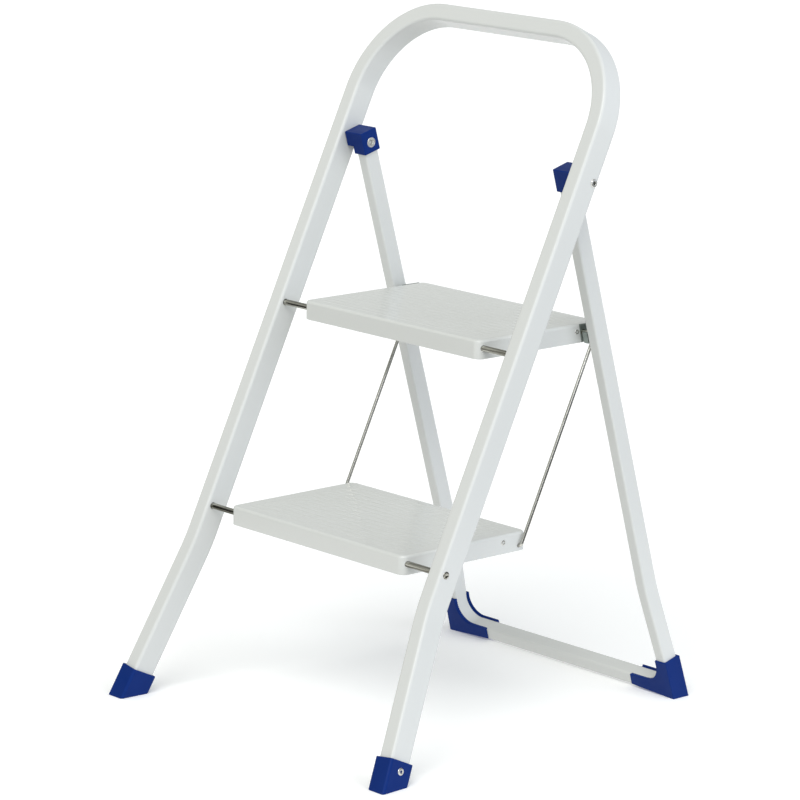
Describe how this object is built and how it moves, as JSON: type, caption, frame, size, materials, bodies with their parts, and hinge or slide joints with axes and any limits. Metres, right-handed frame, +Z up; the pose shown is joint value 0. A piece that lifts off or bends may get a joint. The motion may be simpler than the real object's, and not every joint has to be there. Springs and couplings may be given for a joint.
{
  "type": "folding step stool",
  "caption": "Folding household step stool: bent tube front frame with a high handrail, swinging rear frame, hinged pressed-steel treads tied by rods, and moulded plastic feet.",
  "frame": {"origin": "on the floor, halfway across the stool and halfway between the front feet's toes and the rear boots' heels", "axes": "+X to the right seen from the front, -Y towards the front, +Z up"},
  "size_m": [0.4796, 0.5226, 0.7918],
  "materials": {
    "frame_paint": "gloss powder coat, warm white",
    "step_paint": "semi-gloss powder coat, warm white",
    "blue_plastic": "moulded, satin royal blue",
    "bright_rod": "bright drawn steel",
    "rivet_steel": "plated",
    "zinc_sheet": "zinc plated, dull"
  },
  "bodies": {
    "front_frame_body": {"front_frame": "frame_paint", "front_foot_left": "blue_plastic", "front_foot_right": "blue_plastic", "foot_rivet_left": "rivet_steel", "foot_rivet_right": "rivet_steel", "upper_axle": "bright_rod", "lower_axle": "bright_rod", "pivot_rivet_left": "rivet_steel", "pivot_rivet_right": "rivet_steel"},
    "rear_frame_body": {"rear_frame": "frame_paint", "rear_boot_left": "blue_plastic", "rear_boot_right": "blue_plastic", "pivot_cap_left": "blue_plastic", "pivot_cap_right": "blue_plastic", "catch_bracket_left": "zinc_sheet", "catch_bracket_right": "zinc_sheet"},
    "upper_step_body": {"upper_step": "step_paint", "catch_pin_left": "bright_rod", "catch_pin_right": "bright_rod", "upper_wire_plate_left": "zinc_sheet", "upper_wire_plate_right": "zinc_sheet", "upper_corner_plate_left": "zinc_sheet", "upper_corner_plate_right": "zinc_sheet", "upper_plate_rivets": "rivet_steel"},
    "lower_step_body": {"lower_step": "step_paint", "lower_wire_plate_left": "zinc_sheet", "lower_wire_plate_right": "zinc_sheet", "lower_plate_rivets": "rivet_steel"},
    "tie_wire_left_body": {"tie_wire_left": "bright_rod"},
    "tie_wire_right_body": {"tie_wire_right": "bright_rod"}
  },
  "joints": [
    {"name": "upper_step_hinge", "type": "hinge", "parent": "front_frame_body", "child": "upper_step_body", "pos_m": [0, -0.03843, 0.44528], "axis": [1, 0, 0], "range_deg": [0, 64.7]},
    {"name": "lower_step_hinge", "type": "hinge", "parent": "front_frame_body", "child": "lower_step_body", "pos_m": [0, -0.14604, 0.21763], "axis": [1, 0, 0], "range_deg": [0, 64.7]},
    {"name": "rear_frame_hinge", "type": "hinge", "parent": "front_frame_body", "child": "rear_frame_body", "pos_m": [0, 0.06472, 0.62747], "axis": [-1, 0, 0], "range_deg": [0, 41.65]},
    {"name": "tie_wire_left_hinge", "type": "hinge", "parent": "upper_step_body", "child": "tie_wire_left_body", "pos_m": [-0.1457, 0.12917, 0.43928], "axis": [-1, 0, 0], "range_deg": [0, 64.7]},
    {"name": "tie_wire_right_hinge", "type": "hinge", "parent": "upper_step_body", "child": "tie_wire_right_body", "pos_m": [0.1457, 0.12917, 0.43928], "axis": [-1, 0, 0], "range_deg": [0, 64.7]}
  ],
  "couplings": [
    {"joint": "lower_step_hinge", "follows": "upper_step_hinge", "ratio": 1},
    {"joint": "rear_frame_hinge", "follows": "upper_step_hinge", "ratio": 0.64374},
    {"joint": "tie_wire_left_hinge", "follows": "upper_step_hinge", "ratio": 1},
    {"joint": "tie_wire_right_hinge", "follows": "upper_step_hinge", "ratio": 1}
  ]
}
